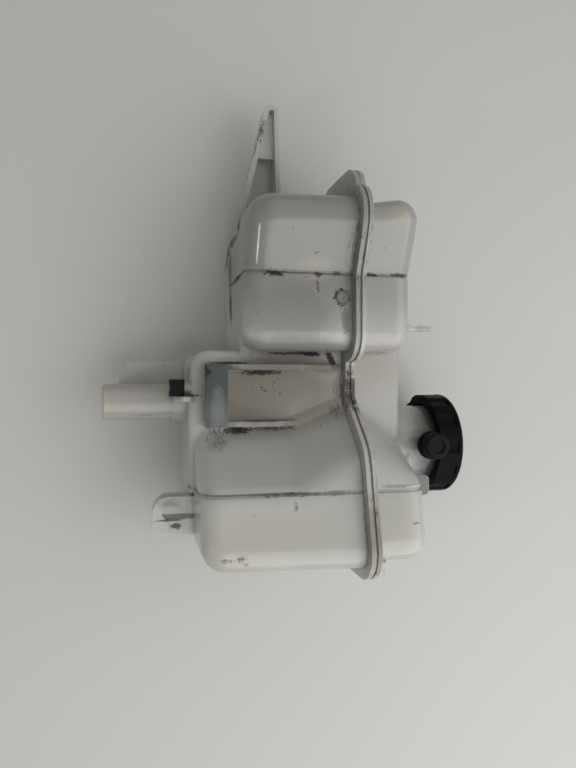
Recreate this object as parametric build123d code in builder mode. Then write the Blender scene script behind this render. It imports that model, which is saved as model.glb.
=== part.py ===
from build123d import *
from math import cos, hypot, radians, tan
import os

# Coolant expansion tank, in millimetres. The origin lies on the floor of the bracket socket,
# between its rails. +Z is up, +X runs to the large chamber and -Y is the front.

# Tank body: end planes, faces and levels of the chambers
wall = 2.8
draft = 1.5
parting_z = 31.8
top_z = 62.0
deep_bottom_z = -50.5
large_bottom_z = -48.0
small_bottom_z = -25.0
back_y = 54.0
back_round = 9.0
small_end_x = -101.0
small_end_flare = 4.5
small_front = 17.0
small_round = 9.0
bulge_slope = 24.0
bulge_round = 12.0
small_baffle_x = -62.0
step_x = -24.0
floor_round = 3.2
large_front_x = 19.2
large_end_x = 81.2
large_front = 27.0
large_slope = 13.0
large_round = 9.0
large_corner = 12.0
large_baffle_x = 44.5
upper_inset = 2.4
upper_corner = 10.0
corner_margin = 1.0
overlap = 4.0
near = 0.01

# Shoulder that slopes from the socket floor out to the front of the large chamber
shoulder_x = 2.0
shoulder_slope = 1.13
shoulder_low_x = 15.4
shoulder_drop = 34.0
shoulder_top_x = 26.0
shoulder_top_slope = 2.0
shoulder_bend = 10.0
shoulder_crest = 18.0
shoulder_back = 12.0
shoulder_margin = 8.0

# Weld flange
flange_width = 5.5
lip_thickness = 2.6
groove_depth = 1.2
groove_height = 0.6
flange_bend = 7.5
small_lobe = 10.0
small_lobe_width = 62.0
small_lobe_y = 8.0
large_lobe = 2.7
large_lobe_width = 44.0
large_lobe_y = 18.0

# Baffles inside the chambers, and the creases outside them
baffle = 2.4
window_y = 20.0
window_width = 36.0
lower_window = 26.0
upper_window = 17.0
drain_width = 12.0
drain_height = 8.0
crease_width = 1.8
crease_depth = 0.8
crease_back = 10.0

# Bracket socket
long_rail_x = -15.4
short_rail_x = 12.8
rail_thickness = 2.6
rail_height = 10.0
rail_low_z = -43.5
long_rail_top_z = 29.0
short_rail_top_z = 5.0
strap_width = 11.0
strap_thickness = 2.4

# Outlet nozzle with its collar and gusset, and the guard plate behind the hose
nozzle_x = 2.2
nozzle_y = 22.0
nozzle_outer = 18.5
nozzle_bore = 14.5
nozzle_length = 42.5
nozzle_chamfer = 1.0
collar_length = 7.5
collar_step = 0.8
gusset_offset = 1.8
gusset_thickness = 2.6
gusset_rise = 2.5
gusset_reach = 4.0
guard_gap = 5.0
guard_width = 21.5
guard_thickness = 2.6
guard_length = 40.0
guard_cut = 10.0

# Rubber buffer on its peg beside the nozzle
buffer_width = 8.4
buffer_height = 7.0
buffer_depth = 11.0
buffer_y = 4.0
boss_diameter = 6.4
boss_length = 2.5
peg_diameter = 3.6
peg_length = 7.0
peg_clearance = 0.1

# Loop foot
loop_x = 48.5
loop_y = 5.0
loop_width = 18.5
loop_length = 20.5
loop_band = 4.6
loop_arm = 7.5
loop_depth = 14.0
loop_round = 8.0
loop_toe_round = 2.5

# Tongue
tongue_length = 62.5
tongue_tip = 7.3
tongue_top_z = 5.0
tongue_fall = 2.8
tongue_root = 25.0
tongue_y = 32.0
tongue_depth = 14.0
tongue_wall = 2.6
tongue_web = 3.0
tongue_shallow = 5.0
tongue_step = 34.0
tongue_tail = 56.0
tongue_tail_drop = 1.6

# Filler neck and overflow nipple
neck_x = 27.0
neck_y = 25.0
neck_outer = 43.0
neck_wall = 3.5
neck_height = 31.5
seat_height = 5.0
seat_ledge = 5.0
seat_thickness = 3.0
nipple_offset = 1.4
nipple_height = 15.3
nipple_outer = 8.0
nipple_bore = 4.5
nipple_reach = 15.0

# Overflow plug
plug_outer = 13.6
plug_end = 2.4
plug_length = 9.4
plug_lip = 2.0
plug_lip_step = 0.7
plug_dish = 8.0
plug_dish_depth = 0.8
plug_chamfer = 1.2
plug_clearance = 0.05

# Fin beside the neck, hose finger, lug on the flange and moulding gate
fin_x = 44.5
fin_y = -18.0
fin_length = 10.0
fin_height = 7.5
fin_thickness = 2.4
fin_root = 2.2
finger_x = -36.0
finger_y = -9.0
finger_height = 13.0
finger_width = 8.0
finger_base = 3.4
finger_tip = 2.2
lug_y = -33.0
lug_width = 6.0
lug_length = 7.0
lug_height = 6.5
gate_x = -50.4
gate_z = 23.6
gate_diameter = 7.0
gate_height = 0.5
gate_dimple = 3.0

# Filler cap
cap_wall = 5.2
cap_skirt = 9.0
cap_roof = 3.0
cap_edge_round = 2.4
thread_room = 1.2
grip_count = 12
grip_radius = 9.0
grip_depth = 1.1
grip_margin = 3.0
dish_margin = 7.0
dish_depth = 0.8
dish_slope = 45.0
gasket_thickness = 2.0
running_gap = 0.1

# Pressure and vacuum valves under the cap
guide_diameter = 29.0
guide_thickness = 1.4
guide_lip = 1.5
collar_thickness = 1.9
side_gap = 0.4
post_diameter = 6.0
post_head_thickness = 1.5
plate_thickness = 1.6
pressure_gasket_thickness = 2.0
seat_overlap = 3.0
poppet_room = 2.0
hub_outer = 14.0
hub_wall = 1.4
hub_height = 14.5
hub_lip = 1.5
drop_travel = 1.5
spring_gap = 1.8
spring_wire = 1.5
spring_turns = 3
spring_room = 0.4
vent_count = 4
vent_diameter = 1.6
vent_circle = 7.4
poppet_diameter = 11.0
poppet_thickness = 1.6
stem_diameter = 2.4
stem_length = 6.6
stem_clearance = 0.3
washer_diameter = 5.2
washer_thickness = 0.9
vacuum_spring_gap = 0.5
vacuum_spring_wire = 0.5
vacuum_spring_turns = 3

# Levels and faces that follow from these sizes
rim_z = top_z + neck_height
seat_z = top_z + seat_height
roof_z = rim_z + gasket_thickness
cap_top_z = roof_z + cap_roof
cap_low_z = rim_z - cap_skirt
neck_bore = neck_outer - neck_wall * 2
throat_bore = neck_bore - wall
seat_bore = neck_bore - seat_ledge * 2
cap_outer = neck_outer + (thread_room + cap_wall) * 2
gusset_x = nozzle_x - gusset_offset
buffer_x = gusset_x - (gusset_thickness + buffer_width) / 2
buffer_top_z = deep_bottom_z - boss_length
guard_y = nozzle_y + nozzle_outer / 2 + guard_gap
guide_low_z = roof_z - running_gap - guide_thickness
plate_low_z = seat_z + pressure_gasket_thickness
plate_top_z = plate_low_z + plate_thickness
post_head_z = plate_top_z + hub_height - hub_lip - drop_travel - post_head_thickness
spring_diameter = hub_outer + spring_gap * 2 + spring_wire
poppet_top_z = plate_low_z - running_gap
washer_z = poppet_top_z + stem_length - washer_thickness
vacuum_spring_diameter = stem_diameter + vacuum_spring_gap * 2 + vacuum_spring_wire
nipple_x = neck_x - nipple_offset
nipple_z = top_z + nipple_height
nipple_tip_y = neck_y - neck_outer / 2 - nipple_reach
nozzle_tip_z = deep_bottom_z - nozzle_length
collar_low_z = deep_bottom_z - collar_length
small_drop = (parting_z - small_bottom_z) * tan(radians(draft))
large_drop = (parting_z - large_bottom_z) * tan(radians(draft))
top_drop = (top_z - parting_z) * tan(radians(draft))
bulge_face = (small_baffle_x, -small_front, -bulge_slope)
small_face = (step_x, -small_front, 0.0)
floor_face = (0.0, 0.0, 0.0)
large_face = (large_front_x, -large_front, large_slope)

face_slope = tan(radians(large_slope))


def crest(start_x, slope, inset):
    # Where the shoulder's line, sloping out from start_x, meets the front of the large chamber.
    run = hypot(1, slope) * inset
    x = large_front - large_front_x * face_slope + start_x * slope + run - hypot(1, face_slope) * inset
    x = x / (slope - face_slope)
    return x, (start_x - x) * slope + run


meeting_x, meeting_y = crest(shoulder_x, shoulder_slope, 0.0)
large_low_x = crest(shoulder_low_x, shoulder_slope, 0.0)[0]
large_top_x = crest(shoulder_top_x, shoulder_top_slope, 0.0)[0]


def chamber(lows, highs, levels, face, corners, rounds, shut, inset):
    # One rounded box of the body. lows and highs are its end planes at the parting and at the far
    # level, levels are those two heights, and face is a point and the slope of its front in plan.
    # Ends that are not shut run on into the next chamber. The inset makes the hollow inside it.
    parting, far = levels
    far += inset if far < parting else -inset
    low = [x + inset * shut[0] for x in lows]
    high = [x - inset * shut[1] for x in highs]
    back = back_y - inset
    face_x, face_y, slope = face
    left = min(low) - overlap
    right = max(high) + overlap
    left_y, right_y = [
        face_y + inset / cos(radians(slope)) + (face_x - x) * tan(radians(slope)) for x in (left, right)
    ]
    with BuildPart() as block:
        with BuildSketch(Plane.XZ.offset(-back)):
            with BuildLine():
                FilletPolyline(
                    (low[0], parting), (low[1], far), (high[1], far), (high[0], parting),
                    radius=[0.0] + [max(radius - inset, 0.0) for radius in corners] + [0.0], close=True,
                )
            make_face()
        extrude(amount=back - min(left_y, right_y) + overlap)
        with BuildSketch(Plane.XY.offset(parting)):
            with BuildLine():
                Polyline((left, back), (right, back), (right, right_y), (left, left_y), close=True)
            make_face()
        extrude(amount=far - parting, mode=Mode.INTERSECT)
        for side, radius in zip((0, -1), rounds):
            edges = block.faces().sort_by(Axis.Y)[side].edges()
            edges = edges.filter_by(lambda edge: abs(edge.center().Z - parting) > near)
            if not shut[0]:
                edges = edges.filter_by(lambda edge: abs(edge.center().X - low[0]) > near)
            if not shut[1]:
                edges = edges.filter_by(lambda edge: abs(edge.center().X - high[0]) > near)
            if radius > inset:
                fillet(edges, radius=radius - inset)
    return block.part


def shoulder_plan(start_x, slope, z, inset):
    # Plan of the shoulder at one level: the socket floor, the slope and the front of the large chamber.
    left = shoulder_x - shoulder_bend * 2
    crest_x, crest_y = crest(start_x, slope, inset)
    foot_x = start_x + inset * (hypot(1, slope) - 1) / slope
    right = max(large_low_x, large_top_x) + shoulder_margin
    with BuildSketch(Plane.XY.offset(z)) as plan:
        with BuildLine():
            FilletPolyline(
                (left, shoulder_back), (left, inset), (foot_x, inset), (crest_x, crest_y),
                (right, crest_y + (crest_x - right) * face_slope), (right, shoulder_back),
                radius=[0, 0, shoulder_bend + inset, shoulder_crest - inset, 0, 0], close=True,
            )
        make_face()
    return plan.sketch


def shoulder(levels, starts, slopes, far_z, inset):
    # The shoulder between the parting and a far level, straight beyond the second of its levels.
    far_z += inset if far_z < parting_z else -inset
    with BuildPart() as slope:
        loft([shoulder_plan(x, m, z, inset) for z, x, m in zip(levels, starts, slopes)], ruled=True)
        if abs(far_z - levels[1]) > near:
            extrude(shoulder_plan(starts[1], slopes[1], levels[1], inset), amount=far_z - levels[1])
        end = slope.faces().sort_by(lambda face: abs(face.center().Z - far_z))[0]
        rim = end.edges().filter_by(Axis.Y, reverse=True)
        rim = rim.filter_by(lambda edge: edge.center().Y < shoulder_back - near)
        fillet(rim, radius=large_round - inset)
    return slope.part


def lower_body(inset):
    small_levels = (parting_z, small_bottom_z)
    deep_levels = (parting_z, deep_bottom_z)
    large_levels = (parting_z, large_bottom_z)
    large_highs = (large_end_x, large_end_x - large_drop)
    return [
        chamber(
            (small_end_x, small_end_x + small_drop), (small_baffle_x + overlap,) * 2, small_levels,
            bulge_face, (bulge_round + corner_margin, 0), (bulge_round, back_round), (True, False), inset,
        ),
        chamber(
            (small_baffle_x - overlap,) * 2, (step_x,) * 2, small_levels,
            small_face, (0, small_round + corner_margin), (small_round, back_round), (False, True), inset,
        ),
        chamber(
            (small_baffle_x,) * 2, (step_x + back_round + overlap,) * 2, small_levels,
            floor_face, (0, 0), (0, back_round), (False, False), inset,
        ),
        chamber(
            (step_x,) * 2, (large_baffle_x + overlap,) * 2, deep_levels,
            floor_face, (back_round + corner_margin, 0), (floor_round, back_round), (True, True), inset,
        ),
        chamber(
            (large_low_x,) * 2, large_highs, large_levels,
            large_face, (0, large_corner), (large_round, back_round), (False, True), inset,
        ),
        shoulder(
            (parting_z, parting_z - shoulder_drop), (shoulder_x, shoulder_low_x), (shoulder_slope,) * 2,
            large_bottom_z, inset,
        ),
    ]


def upper_body(inset):
    levels = (parting_z, top_z)
    small_foot = small_end_x + small_end_flare
    large_foot = large_end_x - upper_inset
    return [
        chamber(
            (small_foot, small_end_x), (small_baffle_x + overlap,) * 2, levels,
            bulge_face, (upper_corner, 0), (small_round, back_round), (True, False), inset,
        ),
        chamber(
            (small_baffle_x - overlap,) * 2, (step_x,) * 2, levels,
            small_face, (0, small_round + corner_margin), (small_round, back_round), (False, True), inset,
        ),
        chamber(
            (small_baffle_x,) * 2, (large_baffle_x,) * 2, levels,
            floor_face, (0, 0), (floor_round, back_round), (False, False), inset,
        ),
        chamber(
            (large_top_x,) * 2, (large_foot, large_foot - top_drop), levels,
            large_face, (0, upper_corner), (large_round, back_round), (False, True), inset,
        ),
        shoulder(
            (parting_z, top_z - inset), (shoulder_x, shoulder_top_x), (shoulder_slope, shoulder_top_slope),
            top_z, inset,
        ),
    ]


with BuildPart() as lower_outer:
    for piece in lower_body(0.0):
        add(piece)

with BuildPart() as lower_inner:
    for piece in lower_body(wall):
        add(piece)

with BuildPart() as lower_skin:
    for piece in lower_body(crease_depth):
        add(piece)

with BuildPart() as upper_outer:
    for piece in upper_body(0.0):
        add(piece)

with BuildPart() as upper_inner:
    for piece in upper_body(wall):
        add(piece)

with BuildPart() as upper_skin:
    for piece in upper_body(crease_depth):
        add(piece)

bulge_corner_y = -small_front - (small_baffle_x - small_end_x) * tan(radians(bulge_slope))
large_corner_y = -large_front - (large_end_x - large_front_x) * face_slope


def weld_lip(direction, hollow):
    # Half of the weld flange: a full-width lip, and a narrower step that makes the groove at the seam.
    with BuildPart() as lip:
        for width, start in ((flange_width - groove_depth, 0.0), (flange_width, groove_height)):
            with BuildSketch(Plane.XY.offset(parting_z + direction * start)):
                with BuildLine():
                    FilletPolyline(
                        (large_end_x, back_y), (small_end_x, back_y), (small_end_x, bulge_corner_y),
                        (small_baffle_x, -small_front), (step_x, -small_front), (step_x, 0),
                        (shoulder_x, 0), (meeting_x, meeting_y), (large_end_x, large_corner_y),
                        radius=[
                            back_round, back_round, bulge_round, 0, small_round,
                            flange_bend, shoulder_bend, shoulder_crest, large_round,
                        ],
                        close=True,
                    )
                make_face()
                offset(amount=width)
                for end_x, y, length, lobe in (
                    (small_end_x, small_lobe_y, small_lobe_width, small_lobe),
                    (large_end_x, large_lobe_y, large_lobe_width, large_lobe),
                ):
                    with Locations((end_x, y)):
                        SlotOverall(length, (width + lobe) * 2, rotation=90)
            extrude(amount=direction * (lip_thickness - start))
        add(hollow, mode=Mode.SUBTRACT)
    return lip.part


def baffles(hollow, window, far_levels):
    # Walls across the two chambers, with a wide window at the parting and a drain at the far level.
    with BuildPart() as walls:
        for x, far_z in zip((small_baffle_x, large_baffle_x), far_levels):
            with BuildSketch(Plane.YZ.offset(x - baffle / 2)):
                with Locations((0, (parting_z + far_z) / 2)):
                    Rectangle(back_y * 2, abs(parting_z - far_z))
                with Locations((window_y, parting_z)):
                    Rectangle(window_width, window * 2, mode=Mode.SUBTRACT)
                with Locations((window_y, far_z)):
                    Rectangle(drain_width, (wall + drain_height) * 2, mode=Mode.SUBTRACT)
            extrude(amount=baffle)
        add(hollow, mode=Mode.INTERSECT)
    return walls.part


def creases(skin, lip_z, far_z):
    # Shallow grooves over the baffles, from the flange round the front and the far face.
    with BuildPart() as cuts:
        for x in (small_baffle_x, large_baffle_x):
            with BuildSketch(Plane.YZ.offset(x - crease_width / 2)):
                with Locations((crease_back - back_y, (lip_z + far_z) / 2)):
                    Rectangle(back_y * 2, abs(lip_z - far_z))
            extrude(amount=crease_width)
        add(skin, mode=Mode.SUBTRACT)
    return cuts.part


def rail(x, end_z):
    # One rail of the bracket socket, sloped at its upper end.
    with BuildPart() as bar:
        with BuildSketch(Plane.YZ.offset(x - rail_thickness / 2)):
            with BuildLine():
                Polyline(
                    (wall / 2, rail_low_z), (-rail_height, rail_low_z), (-rail_height, end_z - rail_height),
                    (0, end_z), (wall / 2, end_z), close=True,
                )
            make_face()
        extrude(amount=rail_thickness)
    return bar.part


lower_lip = weld_lip(-1, lower_inner.part)
upper_lip = weld_lip(1, upper_inner.part)
lower_baffles = baffles(lower_inner.part, lower_window, (small_bottom_z, large_bottom_z))
upper_baffles = baffles(upper_inner.part, upper_window, (top_z, top_z))
lower_creases = creases(lower_skin.part, parting_z - lip_thickness, deep_bottom_z)
upper_creases = creases(upper_skin.part, parting_z + lip_thickness, top_z)
long_rail = rail(long_rail_x, long_rail_top_z)
short_rail = rail(short_rail_x, short_rail_top_z)

with BuildPart() as socket:
    add(long_rail)
    add(short_rail)
    with BuildSketch(Plane.XZ.offset(rail_height - strap_thickness)):
        with Locations(((long_rail_x + short_rail_x) / 2, rail_low_z + strap_width / 2)):
            Rectangle(short_rail_x - long_rail_x, strap_width)
    extrude(amount=strap_thickness)

with BuildPart() as nozzle:
    with BuildSketch(Plane.XY.offset(nozzle_tip_z)):
        with Locations((nozzle_x, nozzle_y)):
            Circle(nozzle_outer / 2)
    extrude(amount=nozzle_length + wall)
    chamfer(nozzle.edges().sort_by(Axis.Z)[0], length=nozzle_chamfer)
    with BuildSketch(Plane.XY.offset(collar_low_z)):
        with Locations((nozzle_x, nozzle_y)):
            Circle(nozzle_outer / 2 + collar_step)
    extrude(amount=collar_length + wall)
    guard_low_x = nozzle_x - guard_width
    guard_low_z = deep_bottom_z - guard_length
    with BuildSketch(Plane.XZ.offset(-guard_y - guard_thickness)):
        with BuildLine():
            Polyline(
                (nozzle_x, deep_bottom_z + wall), (guard_low_x, deep_bottom_z + wall),
                (guard_low_x, guard_low_z + guard_cut), (nozzle_x, guard_low_z), close=True,
            )
        make_face()
    extrude(amount=guard_thickness)
    with BuildSketch(Plane.YZ.offset(gusset_x - gusset_thickness / 2)):
        with BuildLine():
            Polyline(
                (nozzle_y, collar_low_z), (gusset_reach, collar_low_z),
                (-gusset_reach, collar_low_z + gusset_reach), (-gusset_reach, deep_bottom_z),
                (0, deep_bottom_z + gusset_rise),
                (nozzle_y, deep_bottom_z + gusset_rise), close=True,
            )
        make_face()
    extrude(amount=gusset_thickness)
    for length, diameter in ((boss_length, boss_diameter), (boss_length + peg_length, peg_diameter)):
        with BuildSketch(Plane.XY.offset(deep_bottom_z - length)):
            with Locations((buffer_x, buffer_y)):
                Circle(diameter / 2)
        extrude(amount=length + wall)

with BuildPart() as loop_foot:
    loop_low_z = large_bottom_z - loop_length
    with BuildSketch(Plane.XZ.offset(-loop_y - loop_depth / 2)):
        with BuildLine():
            FilletPolyline(
                (loop_x, large_bottom_z + wall), (loop_x, loop_low_z),
                (loop_x + loop_width, loop_low_z), (loop_x + loop_width, large_bottom_z + wall),
                radius=[0, loop_round, loop_toe_round, 0], close=True,
            )
        make_face()
        with BuildLine():
            FilletPolyline(
                (loop_x + loop_band, large_bottom_z), (loop_x + loop_band, loop_low_z + loop_band),
                (loop_x + loop_width - loop_arm, loop_low_z + loop_band),
                (loop_x + loop_width - loop_arm, large_bottom_z),
                radius=[0, loop_round - loop_band, loop_toe_round, 0], close=True,
            )
        make_face(mode=Mode.SUBTRACT)
    extrude(amount=loop_depth)

tongue_tip_x = small_end_x - tongue_length
tongue_tip_z = tongue_top_z - tongue_fall
tongue_tail_x = small_end_x + tongue_tail
tongue_outline = [
    (tongue_tip_x, tongue_tip_z), (tongue_tip_x, tongue_tip_z - tongue_tip),
    (small_end_x, tongue_top_z - tongue_root),
    (small_end_x + tongue_tail / 2, small_bottom_z - tongue_tail_drop),
    (tongue_tail_x, small_bottom_z), (tongue_tail_x, tongue_top_z),
]

with BuildPart() as tongue:
    with BuildSketch(Plane.XZ.offset(-tongue_y - tongue_depth)):
        with BuildLine():
            FilletPolyline(tongue_outline, radius=[tongue_wall, tongue_wall, 0, 0, 0, 0], close=True)
        make_face()
    extrude(amount=tongue_depth)
    for start_x, end_x, depth in (
        (small_end_x - tongue_step, small_end_x - tongue_wall / 2, tongue_depth - tongue_web),
        (tongue_tip_x, small_end_x - tongue_step, tongue_shallow),
    ):
        with BuildSketch(Plane.XZ.offset(-tongue_y)):
            with BuildLine():
                Polyline(*tongue_outline, close=True)
            make_face()
            offset(amount=-tongue_wall, kind=Kind.INTERSECTION)
            with Locations(((start_x + end_x) / 2, 0)):
                Rectangle(end_x - start_x, tongue_length * 2, mode=Mode.INTERSECT)
        extrude(amount=-depth, mode=Mode.SUBTRACT)

with BuildPart() as gate_mark:
    with BuildSketch(Plane.XZ.offset(small_front - wall / 2)):
        with Locations((gate_x, gate_z)):
            Circle(gate_diameter / 2)
    extrude(amount=wall / 2 + gate_height)
    with BuildSketch(Plane.XZ.offset(small_front)):
        with Locations((gate_x, gate_z)):
            Circle(gate_dimple / 2)
    extrude(amount=gate_height, mode=Mode.SUBTRACT)

with BuildPart() as lower_fittings:
    for fitting in (socket, nozzle, loop_foot, tongue, gate_mark):
        add(fitting.part)
    add(lower_inner.part, mode=Mode.SUBTRACT)

with BuildPart() as lower_shell:
    add(lower_outer.part)
    add(lower_inner.part, mode=Mode.SUBTRACT)
    add(lower_lip)
    add(lower_baffles)
    add(lower_creases, mode=Mode.SUBTRACT)
    add(lower_fittings.part)
    with BuildSketch(Plane.XY.offset(nozzle_tip_z)):
        with Locations((nozzle_x, nozzle_y)):
            Circle(nozzle_bore / 2)
    extrude(amount=nozzle_length + wall * 2, mode=Mode.SUBTRACT)

with BuildPart() as neck:
    with BuildSketch(Plane.XY.offset(top_z - wall)):
        with Locations((neck_x, neck_y)):
            Circle(neck_outer / 2)
    extrude(amount=neck_height + wall)
    with BuildSketch(Plane.XZ.offset(-neck_y)):
        with Locations((nipple_x, nipple_z)):
            Circle(nipple_outer / 2)
    extrude(amount=neck_y - nipple_tip_y)

with BuildPart() as neck_hollow:
    for start_z, end_z, diameter in (
        (seat_z, rim_z, neck_bore),
        (top_z - wall, seat_z, seat_bore),
        (top_z - wall, seat_z - seat_thickness, throat_bore),
    ):
        with BuildSketch(Plane.XY.offset(start_z)):
            with Locations((neck_x, neck_y)):
                Circle(diameter / 2)
        extrude(amount=end_z - start_z)
    with BuildSketch(Plane.XZ.offset(-neck_y)):
        with Locations((nipple_x, nipple_z)):
            Circle(nipple_bore / 2)
    extrude(amount=neck_y - nipple_tip_y)

with BuildPart() as top_tabs:
    with BuildSketch(Plane.XZ.offset(-fin_y - fin_thickness / 2)):
        with BuildLine():
            FilletPolyline(
                (fin_x - fin_length / 2, top_z - fin_root), (fin_x + fin_length / 2, top_z - fin_root),
                (fin_x + fin_length / 2, top_z + fin_height), (fin_x - fin_length / 2, top_z + fin_height),
                radius=[0, 0, fin_thickness, fin_thickness], close=True,
            )
        make_face()
    extrude(amount=fin_thickness)
    with BuildSketch(Plane.XZ.offset(-finger_y - finger_width / 2)):
        with BuildLine():
            Polyline(
                (finger_x - finger_base / 2, top_z - wall / 2),
                (finger_x + finger_base / 2, top_z - wall / 2),
                (finger_x + finger_tip / 2, top_z + finger_height),
                (finger_x - finger_tip / 2, top_z + finger_height),
                close=True,
            )
        make_face()
    extrude(amount=finger_width)
    with BuildSketch(Plane.XY.offset(parting_z + lip_thickness / 2)):
        with Locations((large_end_x + lug_length / 2 - upper_inset - wall / 2, lug_y)):
            Rectangle(lug_length, lug_width)
    extrude(amount=lug_height)

with BuildPart() as upper_shell:
    add(upper_outer.part)
    add(upper_inner.part, mode=Mode.SUBTRACT)
    add(upper_lip)
    add(upper_baffles)
    add(upper_creases, mode=Mode.SUBTRACT)
    add(neck.part)
    add(neck_hollow.part, mode=Mode.SUBTRACT)
    add(top_tabs.part)

with BuildPart() as overflow_plug:
    plug_end_y = nipple_tip_y - plug_end
    with BuildSketch(Plane.XZ.offset(-plug_end_y)):
        with Locations((nipple_x, nipple_z)):
            Circle(plug_outer / 2)
    extrude(amount=-plug_length)
    with BuildSketch(Plane.XZ.offset(-plug_end_y - plug_length)):
        with Locations((nipple_x, nipple_z)):
            Circle(plug_outer / 2 + plug_lip_step)
    extrude(amount=plug_lip)
    with BuildSketch(Plane.XZ.offset(-nipple_tip_y)):
        with Locations((nipple_x, nipple_z)):
            Circle(nipple_outer / 2 + plug_clearance)
    extrude(amount=-plug_length, mode=Mode.SUBTRACT)
    with BuildSketch(Plane.XZ.offset(-plug_end_y)):
        with Locations((nipple_x, nipple_z)):
            Circle(plug_dish / 2)
    extrude(amount=-plug_dish_depth, mode=Mode.SUBTRACT)
    chamfer(overflow_plug.edges().group_by(Axis.Y)[0].sort_by(SortBy.LENGTH)[-1], length=plug_chamfer)

with BuildPart() as mount_buffer:
    with BuildSketch(Plane.XY.offset(buffer_top_z - buffer_height)):
        with Locations((buffer_x, buffer_y)):
            Rectangle(buffer_width, buffer_depth)
            Circle(peg_diameter / 2 + peg_clearance, mode=Mode.SUBTRACT)
    extrude(amount=buffer_height)

with BuildPart() as filler_cap:
    with BuildSketch(Plane.XY.offset(cap_low_z)):
        with Locations((neck_x, neck_y)):
            Circle(cap_outer / 2)
    extrude(amount=cap_top_z - cap_low_z)
    fillet(filler_cap.edges().group_by(Axis.Z)[-1], radius=cap_edge_round)
    with BuildSketch(Plane.XY.offset(cap_low_z)):
        with Locations((neck_x, neck_y)):
            Circle(neck_outer / 2 + thread_room)
    extrude(amount=roof_z - cap_low_z, mode=Mode.SUBTRACT)
    with BuildSketch(Plane.XY.offset(guide_low_z - running_gap - guide_lip)):
        with Locations((neck_x, neck_y)):
            Circle(guide_diameter / 2 + side_gap + collar_thickness)
            Circle(guide_diameter / 2 - guide_lip, mode=Mode.SUBTRACT)
    extrude(amount=roof_z - guide_low_z + running_gap + guide_lip)
    with BuildSketch(Plane.XY.offset(guide_low_z - running_gap)):
        with Locations((neck_x, neck_y)):
            Circle(guide_diameter / 2 + side_gap)
    extrude(amount=roof_z - guide_low_z + running_gap, mode=Mode.SUBTRACT)
    with BuildSketch(Plane.XY.offset(cap_top_z)):
        with Locations((neck_x, neck_y)):
            Circle(cap_outer / 2 - dish_margin)
    extrude(amount=-dish_depth, taper=dish_slope, mode=Mode.SUBTRACT)
    with BuildSketch(Plane.XY.offset(cap_low_z)):
        with Locations((neck_x, neck_y)):
            with PolarLocations(cap_outer / 2 + grip_radius - grip_depth, grip_count):
                Circle(grip_radius)
    extrude(amount=cap_top_z - cap_low_z - grip_margin, mode=Mode.SUBTRACT)

with BuildPart() as cap_gasket:
    with BuildSketch(Plane.XY.offset(rim_z)):
        with Locations((neck_x, neck_y)):
            Circle(neck_outer / 2)
            Circle(guide_diameter / 2 + side_gap * 2 + collar_thickness, mode=Mode.SUBTRACT)
    extrude(amount=gasket_thickness)

with BuildPart() as valve_guide:
    with BuildSketch(Plane.XY.offset(guide_low_z)):
        with Locations((neck_x, neck_y)):
            Circle(guide_diameter / 2)
    extrude(amount=guide_thickness)
    with BuildSketch(Plane.XY.offset(post_head_z)):
        with Locations((neck_x, neck_y)):
            Circle(post_diameter / 2)
    extrude(amount=guide_low_z - post_head_z)
    with BuildSketch(Plane.XY.offset(post_head_z)):
        with Locations((neck_x, neck_y)):
            Circle(hub_outer / 2 - hub_wall - side_gap)
    extrude(amount=post_head_thickness)

with BuildPart() as pressure_valve:
    with BuildSketch(Plane.XY.offset(plate_low_z)):
        with Locations((neck_x, neck_y)):
            Circle(seat_bore / 2 + seat_overlap)
    extrude(amount=plate_thickness)
    with BuildSketch(Plane.XY.offset(plate_top_z)):
        with Locations((neck_x, neck_y)):
            Circle(hub_outer / 2)
    extrude(amount=hub_height)
    with BuildSketch(Plane.XY.offset(plate_top_z)):
        with Locations((neck_x, neck_y)):
            Circle(hub_outer / 2 - hub_wall)
    extrude(amount=hub_height - hub_lip, mode=Mode.SUBTRACT)
    with BuildSketch(Plane.XY.offset(plate_top_z)):
        with Locations((neck_x, neck_y)):
            Circle(post_diameter / 2 + stem_clearance)
    extrude(amount=hub_height, mode=Mode.SUBTRACT)
    with BuildSketch(Plane.XY.offset(plate_low_z)):
        with Locations((neck_x, neck_y)):
            Circle(stem_diameter / 2 + stem_clearance)
            with PolarLocations(vent_circle / 2, vent_count):
                Circle(vent_diameter / 2)
    extrude(amount=plate_thickness, mode=Mode.SUBTRACT)

with BuildPart() as pressure_gasket:
    with BuildSketch(Plane.XY.offset(seat_z)):
        with Locations((neck_x, neck_y)):
            Circle(seat_bore / 2 + seat_overlap)
            Circle(poppet_diameter / 2 + poppet_room, mode=Mode.SUBTRACT)
    extrude(amount=pressure_gasket_thickness)

with BuildPart() as vacuum_valve:
    with BuildSketch(Plane.XY.offset(poppet_top_z - poppet_thickness)):
        with Locations((neck_x, neck_y)):
            Circle(poppet_diameter / 2)
    extrude(amount=poppet_thickness)
    with BuildSketch(Plane.XY.offset(poppet_top_z)):
        with Locations((neck_x, neck_y)):
            Circle(stem_diameter / 2)
    extrude(amount=stem_length)

with BuildPart() as vacuum_washer:
    with BuildSketch(Plane.XY.offset(washer_z)):
        with Locations((neck_x, neck_y)):
            Circle(washer_diameter / 2)
            Circle(stem_diameter / 2 + plug_clearance, mode=Mode.SUBTRACT)
    extrude(amount=washer_thickness)


def coil_spring(low_z, high_z, diameter, wire, turns):
    # A coil of square wire between two seats, standing on the axis of the neck.
    height = high_z - low_z - wire - spring_room
    with BuildPart() as coil:
        with BuildLine():
            path = Helix(
                pitch=height / turns, height=height, radius=diameter / 2,
                center=(neck_x, neck_y, (low_z + high_z - height) / 2),
            )
        with BuildSketch(Plane(origin=path @ 0, z_dir=path % 0)):
            Rectangle(wire, wire)
        sweep(path=path, is_frenet=True)
    return coil.part


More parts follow.
